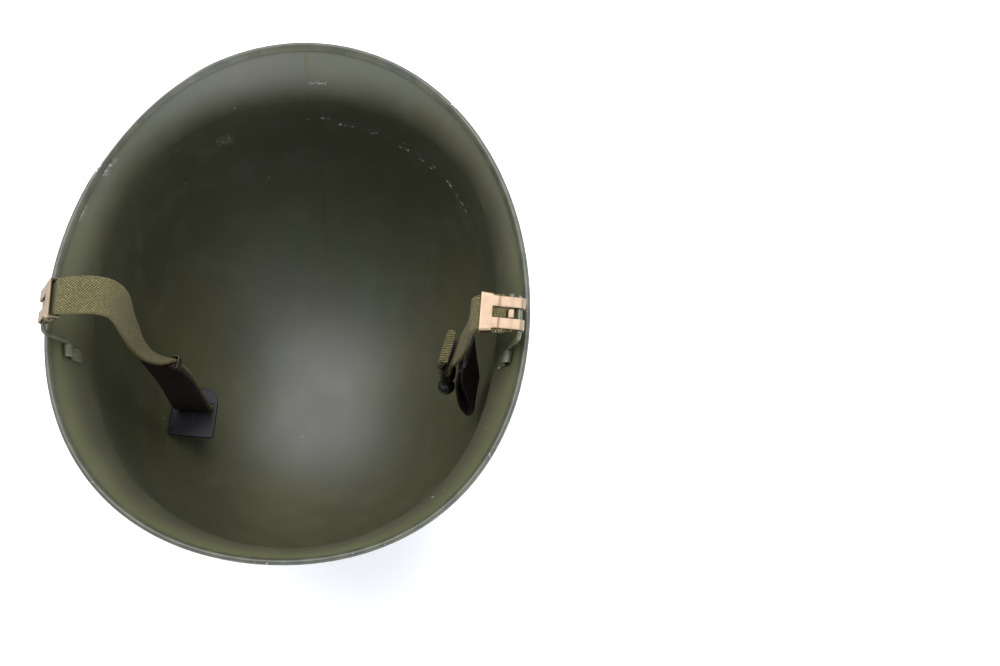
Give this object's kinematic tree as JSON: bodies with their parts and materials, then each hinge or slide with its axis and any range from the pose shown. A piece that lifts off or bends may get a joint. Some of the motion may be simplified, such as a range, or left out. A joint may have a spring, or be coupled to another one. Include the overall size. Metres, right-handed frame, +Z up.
{
  "type": "steel helmet shell",
  "caption": "Olive steel army helmet shell lying open side up on its crown, with a folded rim band and two half chin straps on hinged wire loops",
  "frame": {"origin": "middle of the small flat on the crown that the shell rests on", "axes": "+Z up, out of the open side; +Y towards the peak; +X to the side of the half strap with the stud"},
  "size_m": [0.2412, 0.2795, 0.2132],
  "materials": {
    "olive_paint": "satin, worn, chipped to primer",
    "olive_paint_band": "satin, rubbed on its edge",
    "olive_wire": "satin, rubbed",
    "worn_brass": "dull, tarnished",
    "bright_brass": "rubbed bright",
    "khaki_web": "woven cotton",
    "dark_leather": "worn smooth",
    "blackened_steel": "black, scratched"
  },
  "bodies": {
    "root": {"shell": "olive_paint", "rim_band": "olive_paint_band", "wire_loop_left": "olive_wire", "loop_bracket_left_front": "olive_wire", "loop_bracket_left_rear": "olive_wire", "strap_clip_left": "worn_brass", "wire_loop_right": "olive_wire", "loop_bracket_right_front": "olive_wire", "loop_bracket_right_rear": "olive_wire", "strap_clip_right": "bright_brass", "web_strap_left": "khaki_web", "leather_strap_left": "dark_leather", "strap_keeper_left": "worn_brass", "release_plate": "blackened_steel", "web_strap_right": "khaki_web", "leather_loop_right": "dark_leather", "release_stud": "blackened_steel"}
  },
  "joints": []
}
